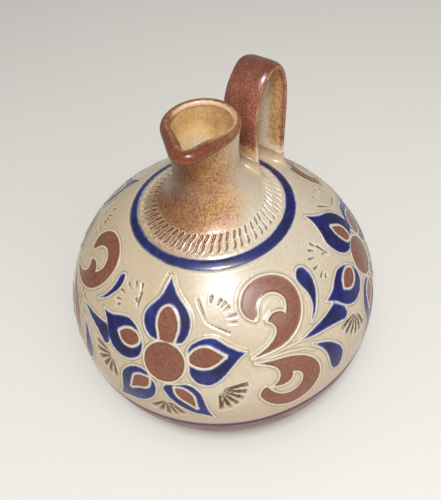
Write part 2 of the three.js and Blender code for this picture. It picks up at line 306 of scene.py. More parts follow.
layout = {
    "flowers": [
        {"turn": 198.4, "size": 1.0, "lean": 0.0, "wide": False, "slide": (0, 0)},
        {"turn": 298.6, "size": 1.0, "lean": 1.0, "wide": True, "slide": (2.6, 1.2)},
        {"turn": 98.1, "size": 1.0, "lean": -1.0, "wide": False, "slide": (1, 0.5)},
        {"turn": 40.2, "size": 0.94, "lean": 0.5, "wide": True, "slide": (1.5, 1)},
    ],
    "scrolls": [
        {"turn": 250.0, "size": 1.0, "lean": 0.0, "slim": 0.0, "leaf": False},
        {"turn": 350.3, "size": 0.99, "lean": 1.0, "slim": 0.3, "leaf": False},
        {"turn": 151.8, "size": 1.0, "lean": -0.5, "slim": 0.8, "leaf": True},
    ],
}
relief = {
    "ridge": 0.42,          # height of the raised outline
    "ridgeAt": 0.8,
    "ridgeWidth": 2.5,
    "groove": 0.28,         # depth of the cut line outside it
    "grooveAt": 2.3,
    "grooveWidth": 2.1,
    "fieldDip": 0.15,
    "fieldEdge": (-0.2, 1.2),
    "stemRidge": 0.8,       # stems are lower than outlines, by these shares
    "stemGroove": 0.6,
    "stemGrooveAt": 1.5,
    "bead": 0.2,            # swelling under the notches
    "eyeBand": 1.45,        # width of the outline between a petal and its eye
    # Height, place and width of the lines thrown round the jug, outwards from the cut lines of the
    # painted ring and upwards from the painted line
    "ringLines": [(0.16, 1.4, 2.0), (-0.26, 0, 1.9)],
    "lowLines": [(0.26, 2.5, 2.0), (-0.2, 0, 2.4), (0.2, -2.4, 2.0)],
}
bands = {
    "ringArc": 86.9,
    "ringHalf": 2.4,
    "ringFull": (268, 0.18),    # where the brush was full, in degrees, and how much wider it is
    "ringWaver": (5, 0.05),     # waves round the jug and their share of the width
    "ringCut": 2.6,             # from the middle of the painted ring to the cut line on either side
    "beadArc": 97,
    "beadWidth": 13,
    "notchTop": 104,
    "lineArc": -9.2,
    "lineHalf": 1.5,
}
# The brown slip covers the neck, and is thinner and shorter on the handle's side. Its edge is an arc
# length, and directions are in degrees.
slipRun = {
    "edge": 104.5,
    "sway": (165, 14.5),       # where the edge is lowest, and by how much
    "waver": (3, 1.1, 1.5),    # waves round the jug, their phase and height
    "fade": (-8.0, 9.0),
    "side": 170,
    "sideFade": (-0.8, 0.62),
    "least": 0.1,
}
# How dark the fire has turned the slip, with painted shade on the same side
fireAndShade = {"side": 142, "focus": 1.8, "share": 0.9, "neckShare": 0.25, "neck": (112, 134)}


# A smooth closed line through the points
def closedCurve(points, steps=7):
    points = np.array(points, float)
    before, after, last = np.roll(points, 1, 0), np.roll(points, -1, 0), np.roll(points, -2, 0)
    rows = []
    for share in np.arange(steps) / steps:
        rows.append(0.5 * (2 * points + (after - before) * share
                           + (2 * before - 5 * points + 4 * after - last) * share ** 2
                           + (3 * points - before - 3 * after + last) * share ** 3))
    line = np.stack(rows, 1).reshape(-1, 2)
    keep = np.hypot(*(line - np.roll(line, 1, 0)).T) > 1e-6
    return line[keep]


def lineDistance(spots, line, closed=True):
    starts = line if closed else line[:-1]
    ends = np.roll(line, -1, 0) if closed else line[1:]
    best = np.full(len(spots), 1e9)
    for start, end in zip(starts, ends):
        way = end - start
        share = np.clip(((spots - start) @ way) / max(way @ way, 1e-12), 0, 1)
        gap = spots - start - share[:, None] * way
        best = np.minimum(best, (gap ** 2).sum(1))
    return np.sqrt(best)


# Distance to a closed outline, positive inside it
def signedDistance(spots, line):
    inside = np.zeros(len(spots), bool)
    for start, end in zip(line, np.roll(line, -1, 0)):
        crosses = (start[1] > spots[:, 1]) != (end[1] > spots[:, 1])
        where = start[0] + (spots[:, 1] - start[1]) * (end[0] - start[0]) / (end[1] - start[1] + 1e-12)
        inside ^= crosses & (spots[:, 0] < where)
    distance = lineDistance(spots, line)
    return np.where(inside, distance, -distance)


# Signed distances in millimetres from every point of the skin to the coloured fields and the stem lines
class Ornament:
    def __init__(self, azimuth, arc):
        self.azimuth, self.arc = azimuth, arc
        self.cobalt = np.full(len(arc), -farAway)
        self.umber = np.full(len(arc), -farAway)
        self.stem = np.full(len(arc), farAway)
        for place in layout["flowers"]:
            self.addFlower(place)
        for place in layout["scrolls"]:
            self.addScroll(place)

    # Picks the points round a motif and gives them in its own millimetres
    def start(self, place, motif):
        away = (self.azimuth - math.radians(place["turn"]) + math.pi) % (2 * math.pi) - math.pi
        across = away * radiusAt(self.arc) / place["size"]
        up = (self.arc - motif["height"]) / place["size"]
        reach = motif["reach"] + farAway
        self.chosen = np.where((abs(across) < reach) & (abs(up) < reach))[0]
        c, s = math.cos(math.radians(place["lean"])), math.sin(math.radians(place["lean"]))
        self.spots = np.stack([across[self.chosen], up[self.chosen]], 1) @ np.array([[c, -s], [s, c]])

    def window(self, line):
        inside = (self.spots > line.min(0) - farAway) & (self.spots < line.max(0) + farAway)
        part = np.where(inside.all(1))[0]
        return self.chosen[part], self.spots[part]

    def addField(self, field, points, hole=None, slim=0.0):
        line = closedCurve(points)
        rows, spots = self.window(line)
        value = signedDistance(spots, line) - slim
        if hole is not None:
            value = np.minimum(value, -(signedDistance(spots, closedCurve(hole)) + relief["eyeBand"]))
        field[rows] = np.maximum(field[rows], value)

    def addFlower(self, place):
        self.start(place, flower)
        x, y, radius = flower["disc"]
        value = radius - np.hypot(self.spots[:, 0] - x, self.spots[:, 1] - y)
        self.umber[self.chosen] = np.maximum(self.umber[self.chosen], value)
        petals, eyes = list(flower["petals"]), list(flower["eyes"])
        if place["wide"]:
            petals[0], eyes[0] = flower["wideTop"], flower["wideEye"]
        for petal, eye in zip(petals, eyes):
            self.addField(self.cobalt, petal, hole=eye)
            self.addField(self.umber, eye)

    def addScroll(self, place):
        self.start(place, scroll)
        for curl in scroll["curls"]:
            self.addField(self.umber, curl)
        tall, *others = scroll["drops"]
        if place["leaf"]:
            self.addField(self.cobalt, scroll["leafDrop"])
        else:
            others.append(tall)
        for drop in others:
            self.addField(self.cobalt, drop, slim=place["slim"])
        for stem in scroll["stems"]:
            line = np.array(stem, float)
            rows, spots = self.window(line)
            self.stem[rows] = np.minimum(self.stem[rows], lineDistance(spots, line, closed=False))


# The skin swells a little under the row of notches
def beadHeight(arc):
    return relief["bead"] * bump(arc - bands["beadArc"], bands["beadWidth"])


# Height of the relief over the plain skin
def reliefHeight(art, arc):
    outside = -np.maximum(art.cobalt, art.umber)
    height = relief["ridge"] * bump(outside - relief["ridgeAt"], relief["ridgeWidth"])
    height -= relief["groove"] * bump(outside - relief["grooveAt"], relief["grooveWidth"])
    height -= relief["fieldDip"] * smooth(*relief["fieldEdge"], -outside)
    stems = relief["ridge"] * relief["stemRidge"] * bump(art.stem, relief["ridgeWidth"])
    stems -= relief["groove"] * relief["stemGroove"] * bump(art.stem - relief["stemGrooveAt"],
                                                            relief["grooveWidth"])
    height = np.where(outside > relief["grooveAt"], height + stems, np.maximum(height, stems))
    height += beadHeight(arc)
    fromRing = abs(arc - bands["ringArc"]) - bands["ringCut"]
    for away, lines in [(fromRing, relief["ringLines"]), (arc - bands["lineArc"], relief["lowLines"])]:
        for lift, place, width in lines:
            height += lift * bump(away - place, width)
    return height


# How far the slip covers the skin, from 0 to 1
def slipCover(azimuth, arc):
    swayTurn, sway = slipRun["sway"]
    count, shift, waver = slipRun["waver"]
    edge = slipRun["edge"] - sway * towards(azimuth, swayTurn) - waver * np.cos(count * azimuth + shift)
    side = smooth(*slipRun["sideFade"], towards(azimuth, slipRun["side"]))
    below, above = slipRun["fade"]
    return smooth(edge + below, edge + above, arc) * mix(slipRun["least"], 1, side)


# How dark it has fired, with painted shade on the same side, from 0 to 1: most on the side away from the
# handle and up towards the mouth
def burnAndShadeOf(azimuth, arc):
    side = 0.5 + 0.5 * towards(azimuth, fireAndShade["side"])
    neck = fireAndShade["neckShare"] * smooth(*fireAndShade["neck"], arc) * side
    return np.clip(side ** fireAndShade["focus"] * fireAndShade["share"] + neck, 0, 1)


# Distance inside the painted ring
def ringField(azimuth, arc):
    (turn, wider), (count, waver) = bands["ringFull"], bands["ringWaver"]
    swell = wider * towards(azimuth, turn) + waver * np.cos(count * azimuth)
    return bands["ringHalf"] * (1 + swell) - abs(arc - bands["ringArc"])


def tint(red, green, blue):
    share = np.array([red, green, blue]) / 255
    linear = np.where(share <= 0.04045, share / 12.92, ((share + 0.055) / 1.055) ** 2.4)
    return (*linear.tolist(), 1.0)


paints = {name: tint(*levels) for name, levels in {
    "ground": (204, 193, 172), "groundWarm": (194, 170, 134), "groundDark": (170, 151, 123),
    "ridge": (238, 229, 209), "groove": (116, 104, 78), "redReflectionAndShade": (168, 126, 98),
    "cobalt": (9, 10, 98), "cobaltDeep": (4, 2, 52), "cobaltPale": (84, 118, 172),
    "cobaltThin": (20, 50, 142), "turquoise": (92, 148, 176), "cutShade": (36, 42, 48),
    "line": (52, 26, 86), "umber": (116, 58, 38), "umberDeep": (88, 42, 28), "umberPale": (178, 118, 92),
    "slip": (152, 86, 40), "slipDark": (114, 60, 24), "slipMid": (152, 92, 44), "slipFleckAndGlint": (238, 186, 116),
    "burntAndShadedSlip": (76, 36, 13), "burntAndShadedSlipDark": (46, 21, 8), "notchPoolShade": (60, 38, 22), "notchWarmPoolShade": (100, 62, 34),
    "rim": (98, 42, 24), "rimFleck": (168, 100, 64), "rust": (112, 52, 44), "rustDark": (78, 34, 28),
    "rustFleck": (194, 130, 96), "peach": (238, 198, 168), "dove": (232, 214, 186), "gold": (184, 140, 90),
    "wine": (112, 52, 50), "wineDark": (74, 30, 28), "honey": (246, 212, 140), "amber": (186, 132, 72),
    "cream": (252, 238, 206), "bare": (176, 150, 122), "bareDark": (128, 100, 78),
    "floor": (236, 233, 227), "floorGrain": (205, 200, 192),
}.items()}


# Builds a geometry or shader tree. An input is a number, a colour's name or another node's output.
class Builder:
    def __init__(self, tree):
        self.tree = tree

    def join(self, value, socket):
        if isinstance(value, bpy.types.NodeSocket):
            self.tree.links.new(value, socket)
        elif value is not None:
            socket.default_value = paints.get(value, value) if socket.type == "RGBA" else value

    def put(self, kind, inputs=(), **settings):
        made = self.tree.nodes.new(kind)
        for key, value in settings.items():
            setattr(made, key, value)
        for key, value in inputs.items() if isinstance(inputs, dict) else enumerate(inputs):
            self.join(value, made.inputs[key])
        return made.outputs

    def calc(self, operation, *values):
        return self.put("ShaderNodeMath", values, operation=operation)[0]

    def plus(self, first, *others):
        for value in others:
            first = self.calc("ADD", first, value)
        return first

    def times(self, first, *others):
        for value in others:
            first = self.calc("MULTIPLY", first, value)
        return first

    def minus(self, value, taken):
        return self.calc("SUBTRACT", value, taken)

    def larger(self, a, b):
        return self.calc("MAXIMUM", a, b)

    def away(self, value, middle):
        return self.calc("ABSOLUTE", self.minus(value, middle))

    def parts(self, vector):
        return self.put("ShaderNodeSeparateXYZ", [vector])

    def ramp(self, value, low, high, start=0.0, end=1.0):
        return self.put("ShaderNodeMapRange", {
            "Value": value, "From Min": low, "From Max": high, "To Min": start, "To Max": end},
            interpolation_type="SMOOTHSTEP")[0]

    # For geometry
    def stored(self, name, kind="FLOAT_VECTOR"):
        return self.put("GeometryNodeInputNamedAttribute", {"Name": name}, data_type=kind)[0]

    def store(self, shape, name, value):
        return self.put("GeometryNodeStoreNamedAttribute", {
            "Geometry": shape, "Name": name, "Value": value}, data_type="FLOAT")[0]

    # For finishes
    def read(self, name):
        return self.put("ShaderNodeAttribute", attribute_name=name, attribute_type="GEOMETRY")["Fac"]

    def spot(self):
        return self.put("ShaderNodeTexCoord")["Object"]

    def noise(self, scale, detail=2.0, rough=0.5, warp=0.0):
        return self.put("ShaderNodeTexNoise", {"Vector": self.spot(), "Scale": scale, "Detail": detail,
                                               "Roughness": rough, "Distortion": warp})[0]

    def shake(self, scale, **settings):
        return self.minus(self.noise(scale, **settings), 0.5)

    # 1 within a distance of a line, falling softly to 0
    def stripe(self, value, middle, half, soft):
        return self.ramp(self.away(value, middle), half + soft, max(half - soft, 0.0))

    def blend(self, share, under, over):
        return self.put("ShaderNodeMix", {0: share, 6: under, 7: over}, data_type="RGBA")[2]

    def use(self, group, **values):
        inputs = {name.capitalize(): value for name, value in values.items()}
        return self.put("ShaderNodeGroup", inputs, node_tree=group)[0]

    def mottled(self, base, dark, fleck, **settings):
        return self.use(slipTree, base=base, dark=dark, fleck=fleck, **settings)


def startTree(name, kind, inputs, output, outputKind):
    tree = bpy.data.node_groups.new(name, kind)
    for label, socket, value in inputs:
        made = tree.interface.new_socket(label, in_out="INPUT", socket_type="NodeSocket" + socket)
        if value is not None:
            made.default_value = value
    tree.interface.new_socket(output, in_out="OUTPUT", socket_type="NodeSocket" + outputKind)
    return Builder(tree), tree.nodes.new("NodeGroupInput").outputs, tree.nodes.new("NodeGroupOutput").inputs


def geometryTree(name, inputs, build):
    t, given, result = startTree(name, "GeometryNodeTree", inputs + [("Finish", "Material", None)],
                                 "Shape", "Geometry")
    shape = t.put("GeometryNodeRealizeInstances", {"Geometry": build(t, given)})[0]
    shape = t.put("GeometryNodeSetMaterial", {"Geometry": shape, "Material": given["Finish"]})[0]
    t.join(shape, result[0])
    return t.tree


# Turns a profile about the jug's axis: the profile's points are the rows of a grid that closes on itself
def turnedShell(t, given):
    rows, columns = given["Rows"], given["Columns"]
    grid = t.put("GeometryNodeMeshGrid", {"Vertices X": t.plus(columns, 1), "Vertices Y": rows})["Mesh"]
    index = t.put("GeometryNodeInputIndex")[0]
    row = t.calc("MODULO", index, rows)
    column = t.calc("FLOOR", t.calc("DIVIDE", index, rows))
    turn = t.times(t.calc("DIVIDE", column, columns), 2 * math.pi)

    def sample(value, kind):
        return t.put("GeometryNodeSampleIndex", {
            "Geometry": given["Profile"], "Value": value, "Index": row}, data_type=kind)[0]

    radius, _, height = t.parts(sample(t.put("GeometryNodeInputPosition")[0], "FLOAT_VECTOR"))
    spot = t.put("ShaderNodeCombineXYZ", [
        t.times(radius, t.calc("COSINE", turn)), t.times(radius, t.calc("SINE", turn)), height])[0]
    shape = t.put("GeometryNodeSetPosition", {"Geometry": grid, "Position": spot})[0]
    for name in profileFields:
        shape = t.store(shape, name, sample(t.stored(name, "FLOAT"), "FLOAT"))
    return t.put("GeometryNodeMergeByDistance", {"Geometry": shape, "Distance": given["Weld"]})[0]


# Presses a wedge into the skin at each mark, whose point carries its way up, its way along and its size
def pressedMarks(t, given):
    flat = t.put("GeometryNodeMeshGrid", {"Size X": 1.0, "Size Y": 1.0, "Vertices X": 2, "Vertices Y": 2})
    x, y, _ = t.parts(t.put("GeometryNodeInputPosition")[0])
    taper = t.put("ShaderNodeMapRange", {
        "Value": t.plus(x, 0.5), "To Min": given["Tail"], "To Max": 1.0})[0]
    spot = t.put("ShaderNodeCombineXYZ", [x, t.times(y, taper), 0.0])[0]
    wedge = t.put("GeometryNodeSetPosition", {"Geometry": flat["Mesh"], "Position": spot})[0]
    marks = t.put("GeometryNodeObjectInfo", {"Object": given["Marks"]}, transform_space="RELATIVE")
    turned = t.put("FunctionNodeAlignRotationToVector", {"Vector": t.stored("wayUp")}, axis="Z")[0]
    turned = t.put("FunctionNodeAlignRotationToVector", {
        "Rotation": turned, "Vector": t.stored("wayAlong")}, axis="X", pivot_axis="Z")[0]
    placed = t.put("GeometryNodeInstanceOnPoints", {
        "Points": marks["Geometry"], "Instance": wedge, "Rotation": turned, "Scale": t.stored("size")})[0]
    placed = t.put("GeometryNodeRealizeInstances", {"Geometry": placed})[0]
    gap = t.put("GeometryNodeProximity", [placed], target_element="FACES")["Distance"]
    slope = given["Slope"]
    lipStart, lipEnd = t.times(slope, 0.6), t.times(slope, 2.2)
    press = t.ramp(gap, 0.0, slope, given["Depth"], 0.0)
    climb = t.ramp(gap, lipStart, slope, 0.0, given["Lip"])
    fall = t.ramp(gap, slope, lipEnd, 1.0, 0.0)
    push = t.put("ShaderNodeVectorMath", {
        0: t.stored("skinNormal"), "Scale": t.minus(t.times(climb, fall), press)}, operation="SCALE")[0]
    shape = t.store(given["Skin"], "markGap", t.times(gap, 1 / mm))
    return t.put("GeometryNodeSetPosition", {"Geometry": shape, "Offset": push})[0]


profileFields = ["arc", "outside", "corner"]
shellTree = geometryTree("turnedShell", [
    ("Profile", "Geometry", None), ("Columns", "Int", 64), ("Rows", "Int", 8), ("Weld", "Float", 0.000002)],
    turnedShell)
markTree = geometryTree("pressedMarks", [
    ("Skin", "Geometry", None), ("Marks", "Object", None), ("Depth", "Float", 0.0004),
    ("Slope", "Float", 0.0006), ("Lip", "Float", 0.0002), ("Tail", "Float", 0.2)], pressedMarks)


def runTree(thing, tree, values):
    modifier = thing.modifiers.new(tree.name, "NODES")
    modifier.node_group = tree
    for item in tree.interface.items_tree:
        if item.item_type == "SOCKET" and item.in_out == "INPUT" and item.name in values:
            modifier[item.identifier] = values[item.name]
    sight = bpy.context.evaluated_depsgraph_get()
    made = bpy.data.meshes.new_from_object(thing.evaluated_get(sight), preserve_all_data_layers=True,
                                           depsgraph=sight)
    thing.modifiers.remove(modifier)
    made.materials.clear()
    made.materials.append(values["Finish"])
    thing.data = made
    return thing


def newThing(name, mesh):
    thing = bpy.data.objects.new(name, mesh)
    bpy.context.scene.collection.objects.link(thing)
    return thing


def setValues(mesh, name, values, kind="FLOAT"):
    held = mesh.attributes.get(name) or mesh.attributes.new(name, kind, "POINT")
    field = "vector" if kind == "FLOAT_VECTOR" else "value"
    held.data.foreach_set(field, np.asarray(values, np.float32).ravel())


def getValues(mesh, name):
    values = np.zeros(len(mesh.vertices), np.float32)
    mesh.attributes[name].data.foreach_get("value", values)
    return values.astype(float)


def getPoints(mesh):
    spots = np.zeros(len(mesh.vertices) * 3, np.float32)
    mesh.vertices.foreach_get("co", spots)
    return spots.reshape(-1, 3).astype(float) / mm


def getIndices(items, name, width=1):
    indices = np.zeros(len(items) * width, np.int32)
    items.foreach_get(name, indices)
    return indices


# Smooth shading that breaks only between points marked as corners
def shadeSmooth(mesh):
    mesh.shade_smooth()
    corner = getValues(mesh, "corner") > 0.5
    ends = getIndices(mesh.edges, "vertices", 2).reshape(-1, 2)
    sharp = mesh.attributes.get("sharp_edge") or mesh.attributes.new("sharp_edge", "BOOLEAN", "EDGE")
    sharp.data.foreach_set("value", corner[ends].all(1))


def stepsThrough(stops, spacings):
    runs = [np.linspace(low, high, max(math.ceil(abs(high - low) / spacing), 1) + 1)[:-1]
            for low, high, spacing in zip(stops, stops[1:], spacings)]
    return np.concatenate(runs + [stops[-1:]])


# Rows of a profile hold radius, height, arc, outside and corner
def outerRows(arcs):
    radius, _, height = skinPoints(0.0, arcs).T
    rows = np.stack([radius, height, arcs, np.ones_like(arcs), np.zeros_like(arcs)], 1)
    rows[[0, -1], 4] = 1
    return rows


def plainRows(radii, heights, corners=True):
    rows = np.zeros((len(radii), 5))
    rows[:, 0], rows[:, 1], rows[:, 2] = radii, heights, offSkin
    if corners:
        rows[[0, -1], 4] = 1
    return rows


# A mesh from rings of points, closed round each ring. It closes on itself, or its ends get caps.
def loftThing(name, rings, capped=False):
    rowCount, count = rings.shape[:2]
    spans = rowCount - 1 if capped else rowCount
    row, column = np.meshgrid(np.arange(spans), np.arange(count), indexing="ij")
    above, beside = (row + 1) % rowCount, (column + 1) % count
    faces = np.stack([row * count + column, row * count + beside, above * count + beside,
                      above * count + column], -1).reshape(-1, 4).tolist()
    if capped:
        faces.append(list(range(count))[::-1])
        faces.append(list(range((rowCount - 1) * count, rowCount * count)))
    mesh = bpy.data.meshes.new(name)
    mesh.from_pydata((rings.reshape(-1, 3) * mm).tolist(), [], faces)
    return newThing(name, mesh)


# The dimpled skin of salt glaze, as a height in millimetres
def orangePeel(t, scale, depth, grit):
    cells = t.put("ShaderNodeTexVoronoi", {"Vector": t.spot(), "Scale": scale, "Smoothness": 0.6},
                  feature="SMOOTH_F1")[0]
    swell = t.noise(t.times(scale, 0.33))
    grain = t.noise(t.times(scale, 2.6), detail=3.0, rough=0.6)
    return t.times(t.plus(t.times(cells, 0.9), t.times(swell, 1.3), t.times(grain, grit)), depth)


# Fine spots of iron in the clay
def ironSpeckle(t, scale, cover, soft):
    patchy = t.times(t.shake(t.times(scale, 0.12)), 0.35)
    level = t.plus(t.noise(scale, rough=0.55, warp=0.4), patchy)
    edge = t.minus(0.78, t.times(cover, 0.5))
    return t.ramp(level, t.minus(edge, soft), t.plus(edge, soft))


# Winding veins, where the glaze has crept
def crawledVeins(t, scale, width, warp):
    return t.ramp(t.away(t.noise(scale, warp=warp), 0.5), 0.0, width, 1.0, 0.0)


# Slow drift of the kiln's fire over the pot
def kilnDrift(t, scale, low, high):
    return t.ramp(t.noise(scale, detail=4.0, rough=0.55, warp=0.3), low, high)


# Turns a distance in millimetres into a painted field with a slightly uneven edge
def paintedEdge(t, distance, wobble, soft, grow):
    edge = t.plus(distance, grow, t.times(t.shake(480.0), wobble))
    return t.ramp(edge, t.times(soft, -1.0), soft)


# Mottled slip: dark spots and winding pale flecks over a base tone
def mottledSlip(t, base, dark, fleck, spots, flecks, fine):
    speckle = ironSpeckle(t, t.times(fine, 500.0), cover=0.5, soft=0.15)
    bright = ironSpeckle(t, t.times(fine, 720.0), cover=0.42, soft=0.1)
    veins = crawledVeins(t, t.times(fine, 430.0), width=0.1, warp=1.6)
    colour = t.blend(t.times(speckle, spots), base, dark)
    colour = t.blend(t.times(veins, flecks, 0.75), colour, fleck)
    return t.blend(t.times(bright, flecks, 0.8), colour, fleck)


# A group whose inputs are those of its build function, with their default values
def shaderGroup(build, output="Mask", outputKind="Float", **inputs):
    t, given, result = startTree(build.__name__, "ShaderNodeTree", [
        (name.capitalize(), "Float" if isinstance(value, float) else "Color", value)
        for name, value in inputs.items()], output, outputKind)
    t.join(build(t, *given[:len(inputs)]), result[0])
    return t.tree


peelTree = shaderGroup(orangePeel, "Height", scale=620.0, depth=0.03, grit=0.3)
speckleTree = shaderGroup(ironSpeckle, scale=900.0, cover=0.3, soft=0.08)
slipTree = shaderGroup(mottledSlip, "Colour", "Color", base=paints["slip"], dark=paints["slipDark"],
                       fleck=paints["slipFleckAndGlint"], spots=0.5, flecks=0.5, fine=1.0)
driftTree = shaderGroup(kilnDrift, scale=22.0, low=0.38, high=0.62)
inlayTree = shaderGroup(paintedEdge, distance=0.0, wobble=0.3, soft=0.35, grow=0.0)


# A finish under way, whose colours are laid one over the other
class Glaze(Builder):
    def __init__(self, name, ior=1.5):
        self.finish = bpy.data.materials.new(name)
        self.finish.use_nodes = True
        super().__init__(self.finish.node_tree)
        self.shader = self.tree.nodes["Principled BSDF"].inputs
        self.join(ior, self.shader["IOR"])

    def lay(self, colour, share, amount=None):
        share = share if amount is None else self.times(share, amount)
        self.colour = self.blend(share, self.colour, colour)

    # Roughness that varies slowly between two values
    def patchyRough(self, low, high):
        return self.ramp(self.noise(90.0, detail=3.0), 0.3, 0.7, low, high)

    def done(self, rough, height=None, coat=0.0, coatRough=0.05):
        if height is not None:
            bumped = self.put("ShaderNodeBump", {"Distance": mm, "Height": height})[0]
            self.join(bumped, self.shader["Normal"])
        for name, value in [("Base Color", self.colour), ("Roughness", rough), ("Coat Weight", coat),
                            ("Coat Roughness", coatRough)]:
            self.join(value, self.shader[name])
        return self.finish


# The decorated skin, shared by the bowl, the dome and the collar so that it runs over the seams
def bodyGlaze():
    t = Glaze("incised salt glaze", ior=1.45)
    arc, cobalt, umber, slip, markGap, stem, ring, burnAndShade = [t.read(name) for name in [
        "arc", "cobalt", "umber", "slip", "markGap", "stem", "ring", "burnAndShade"]]
    outside = t.times(t.larger(cobalt, umber), -1.0)
    blue = t.larger(cobalt, ring)

    # Grey ground, warmer on the fire side, partly painted shade, and redder below the belly line, a painted
    # reflection of red cloth with painted shade
    warmth = t.plus(t.times(t.use(driftTree, scale=18.0), 0.3), t.times(burnAndShade, 0.55))
    t.colour = t.blend(warmth, "ground", "groundWarm")
    t.lay("groundDark", t.use(driftTree, scale=420.0, low=0.35, high=0.7), 0.26)
    t.lay("redReflectionAndShade", t.ramp(arc, 26.0, -9.0), 0.4)

    # Slip that breaks up where it runs out
    shake = t.shake(430.0, detail=3.0, rough=0.6, warp=1.0)
    thin = t.times(slip, t.minus(1.0, slip), 4.0)
    cover = t.put("ShaderNodeMapRange", {
        "Value": t.plus(slip, t.times(shake, thin, 0.9)), "From Min": 0.05, "From Max": 0.95})[0]
    # The pale flecks of the slip are partly real flecks and partly painted glints of its dimpled glaze
    plain = t.mottled("slip", "slipDark", "slipFleckAndGlint", spots=0.35, flecks=0.85, fine=1.35)
    # The slip is darker on the fire side: partly fired darker and partly painted shade
    burntAndShadedSlip = t.mottled("burntAndShadedSlip", "burntAndShadedSlipDark", "slipMid", spots=0.45, flecks=0.7, fine=1.35)
    t.lay(t.blend(burnAndShade, plain, burntAndShadedSlip), cover, 0.94)
    rise = t.minus(bands["lineHalf"], t.away(arc, bands["lineArc"]))
    t.lay("line", t.use(inlayTree, distance=rise, wobble=1.0, soft=0.45))

    # Painted highlight on the crests and painted shade in the cuts of the outlines
    crest = t.larger(t.stripe(outside, 0.7, half=0.3, soft=0.3), t.stripe(stem, 0.0, half=0.35, soft=0.3))
    t.lay("ridge", crest, 0.5)
    stemCut = t.times(t.stripe(stem, 1.0, half=0.2, soft=0.25), t.ramp(outside, 1.0, 1.5))
    cut = t.larger(t.stripe(outside, 1.5, half=0.2, soft=0.3), stemCut)
    uneven = t.ramp(t.noise(120.0), 0.32, 0.62, 0.06, 0.55)
    t.lay("groove", t.times(cut, uneven))

    # Brown fields
    tone = t.mottled("umber", "umberDeep", "umberPale", spots=0.4, flecks=0.3, fine=1.2)
    tone = t.blend(t.times(t.ramp(umber, 1.1, 0.1), 0.4), tone, "umberDeep")
    t.lay(tone, t.use(inlayTree, distance=umber, wobble=0.6, soft=0.25), 0.97)

    # Blue fields and the painted ring: a thin wash round a core that pools dark
    halo = t.use(inlayTree, distance=blue, wobble=0.9, soft=0.5, grow=0.35)
    patchy = t.ramp(t.use(driftTree, scale=130.0, low=0.35, high=0.6), 0.0, 1.0, 0.25, 0.7)
    t.lay(t.blend(t.use(driftTree, scale=70.0), "cobaltPale", "turquoise"), halo, patchy)
    tone = t.blend(t.use(driftTree, scale=110.0, low=0.38, high=0.66), "cobaltDeep", "cobalt")
    shallow = t.use(driftTree, scale=190.0, low=0.5, high=0.72)
    tone = t.blend(t.times(shallow, 0.6), tone, "cobaltThin")
    tone = t.blend(t.times(t.ramp(blue, 1.2, 0.2), 0.5), tone, "cobaltThin")
    t.lay(tone, t.use(inlayTree, distance=blue, wobble=0.8, soft=0.35, grow=-0.05))
    # Painted shade in the cut lines either side of the ring
    ringCut = t.stripe(t.away(arc, bands["ringArc"]), bands["ringCut"], half=0.26, soft=0.22)
    ringCut = t.times(ringCut, t.plus(uneven, 0.2))
    t.lay("cutShade", ringCut)

    # Stamped marks: dark at the bottom, partly glaze pooled there and partly painted shade, with a painted
    # highlight on the lips
    pressed = t.times(t.ramp(t.plus(markGap, t.times(shake, 0.5)), 0.36, 0.02), t.ramp(outside, 0.4, 1.4))
    lipHighlight = t.times(t.stripe(markGap, 0.85, half=0.1, soft=0.3), t.ramp(outside, 0.8, 1.8))
    t.lay("ridge", lipHighlight, 0.3)
    t.lay(t.blend(burnAndShade, "notchPoolShade", "notchWarmPoolShade"), pressed, t.ramp(arc, 40.0, 30.0, 0.8, 1.0))

    height = t.use(peelTree, scale=560.0, depth=0.036, grit=0.25)
    for mask, lift in [(crest, 0.16), (cut, -0.24), (ringCut, -0.2), (pressed, -0.15)]:
        height = t.plus(height, t.times(mask, lift))
    facing = t.put("ShaderNodeLayerWeight")["Facing"]
    return t.done(t.plus(t.patchyRough(0.15, 0.24), t.times(cover, 0.02)), height,
                  coat=t.ramp(facing, 0.08, 0.42, 1.0, 0.0), coatRough=0.3)


# Dark glaze under the painted line
def wineGlaze():
    t = Glaze("dark brown glaze below", ior=1.4)
    arc = t.read("arc")
    light = t.mottled("wine", "umberDeep", "umber")
    t.colour = t.blend(t.ramp(arc, -12.0, -44.0), light, t.mottled("wineDark", "rustDark", "wine"))
    rise = t.minus(arc, bands["lineArc"] - bands["lineHalf"])
    t.lay("line", t.use(inlayTree, distance=rise, wobble=1.0, soft=0.45))
    return t.done(t.patchyRough(0.24, 0.38), t.use(peelTree, scale=560.0, depth=0.05, grit=0.25))


# Brown glaze that breaks to gold and then to a pale tone where it is thin and where a highlight is painted,
# for the rim and the strap
def rustGlaze(name, base, fleck, pale, paleShare, goldShare):
    t = Glaze(name, ior=1.48)
    t.colour = t.mottled(base, "rustDark", fleck, spots=0.4, flecks=0.62, fine=1.8)
    t.lay("rustDark", t.use(driftTree, scale=70.0, low=0.4, high=0.62), 0.25)
    t.lay("rustDark", t.ramp(t.parts(t.spot())[2], 0.184, 0.193), 0.55)
    wearAndSheen = t.plus(t.read("wearAndSheen"), t.times(t.shake(420.0, detail=3.0), 0.5))
    golden = t.mottled("gold", "slipDark", "slipFleckAndGlint", spots=0.85, flecks=0.5, fine=1.3)
    t.lay(golden, t.ramp(wearAndSheen, 0.12, 0.45), goldShare)
    freckled = t.mottled(pale, "slip", "cream", spots=0.3, flecks=0.4, fine=1.7)
    t.lay(freckled, t.ramp(wearAndSheen, 0.3, 0.95), paleShare)
    return t.done(t.patchyRough(0.14, 0.25), t.use(peelTree, scale=560.0, depth=0.045, grit=0.25))


